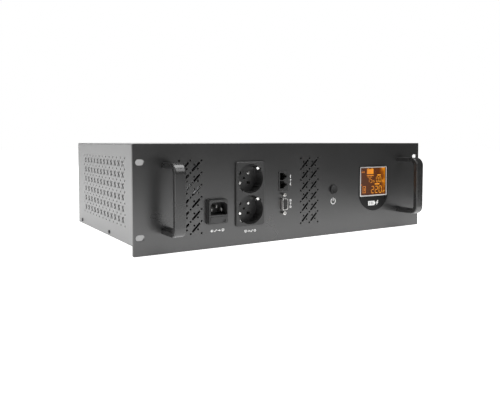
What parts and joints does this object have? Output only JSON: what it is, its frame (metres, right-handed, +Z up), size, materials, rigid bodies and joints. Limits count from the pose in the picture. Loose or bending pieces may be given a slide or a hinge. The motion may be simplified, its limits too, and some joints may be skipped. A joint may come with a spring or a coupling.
{
  "type": "uninterruptible power supply",
  "caption": "Rack-mounted uninterruptible power supply with D handles, a mains inlet with a fuse drawer, round earthed outlets, data ports and a backlit display on a black front panel.",
  "frame": {"origin": "under the middle of the whole box, on the surface the chassis stands on", "axes": "+X to the right seen from the front, +Y from the front panel into the chassis, +Z up"},
  "size_m": [0.4826, 0.3704, 0.1326],
  "materials": {
    "panel_paint": "satin powder coat",
    "case_paint": "fine-grained satin paint",
    "zinc_steel": "zinc plated",
    "black_steel": "black screw finish",
    "handle_coat": "black anodised, satin",
    "black_plastic": "moulded, satin",
    "contact_plate": "nickel plated",
    "contact_brass": "bright",
    "gloss_black": "gloss",
    "bright_trim": "satin chrome",
    "window_clear": "clear",
    "lcd_amber": "backlit amber",
    "board_green": "solder mask",
    "sink_alu": "extruded",
    "case_black": "moulded epoxy",
    "can_sleeve": "shrink sleeve",
    "relay_case": "moulded",
    "terminal_green": "moulded",
    "core_steel": "varnished laminations",
    "winding_tape": "polyester tape over copper",
    "battery_case": "moulded",
    "wire_red": "cable insulation",
    "wire_black": "cable insulation",
    "wire_blue": "cable insulation",
    "wire_brown": "cable insulation",
    "wire_grey": "ribbon insulation",
    "fuse_glass": "clear",
    "spring_steel": "drawn wire",
    "fan_black": "moulded"
  },
  "bodies": {
    "chassis": {"front_panel": "panel_paint", "base_tray": "zinc_steel", "top_cover": "case_paint", "cover_screws": "black_steel", "panel_screws": "zinc_steel", "left_handle": "handle_coat", "right_handle": "handle_coat", "handle_screws": "zinc_steel", "inlet_housing": "black_plastic", "inlet_pins": "contact_plate", "outlet_housing": "black_plastic", "outlet_contacts": "contact_brass", "earth_clips": "contact_plate", "outlet_fasteners": "contact_plate", "phone_jack": "black_plastic", "phone_contacts": "contact_brass", "serial_shell": "contact_plate", "serial_insert": "black_plastic", "jack_screws": "contact_plate", "comm_board": "board_green", "button_spring": "spring_steel", "button_switch": "case_black", "display_bezel": "gloss_black", "display_trim": "bright_trim", "display_window": "window_clear", "lcd_module": "lcd_amber", "display_board": "board_green", "display_posts": "zinc_steel", "main_board": "board_green", "board_posts": "contact_brass", "board_screws": "zinc_steel", "heat_sinks": "sink_alu", "transistors": "case_black", "capacitors": "can_sleeve", "relays": "relay_case", "terminal_block": "terminal_green", "transformer_core": "core_steel", "transformer_windings": "winding_tape", "transformer_frame": "zinc_steel", "transformer_bolts": "zinc_steel", "battery_inner": "battery_case", "battery_outer": "battery_case", "battery_terminals": "contact_plate", "battery_strap": "zinc_steel", "strap_screws": "zinc_steel", "battery_lead_red": "wire_red", "battery_lead_black": "wire_black", "battery_link": "wire_black", "mains_live": "wire_brown", "mains_neutral": "wire_blue", "outlet_wires": "wire_brown", "display_ribbon": "wire_grey", "fan_frame": "fan_black", "fan_guard": "contact_plate", "fan_screws": "zinc_steel"},
    "power_button": {"power_button": "gloss_black"},
    "fuse_drawer": {"fuse_drawer": "black_plastic", "fuse_tubes": "fuse_glass", "fuse_caps": "contact_plate"},
    "fan_rotor": {"fan_rotor": "fan_black"}
  },
  "joints": [
    {"name": "button_press", "type": "slide", "parent": "chassis", "child": "power_button", "axis": [0, 1, 0], "range_m": [0, 0.002], "stiffness_N_per_m": 400, "deforming": ["button_spring"]},
    {"name": "fuse_drawer_slide", "type": "slide", "parent": "chassis", "child": "fuse_drawer", "axis": [0, -1, 0], "range_m": [0, 0.022]},
    {"name": "fan_spin", "type": "hinge", "parent": "chassis", "child": "fan_rotor", "pos_m": [-0.13, 0.16675, 0.06635], "axis": [0, 1, 0], "continuous": true}
  ]
}
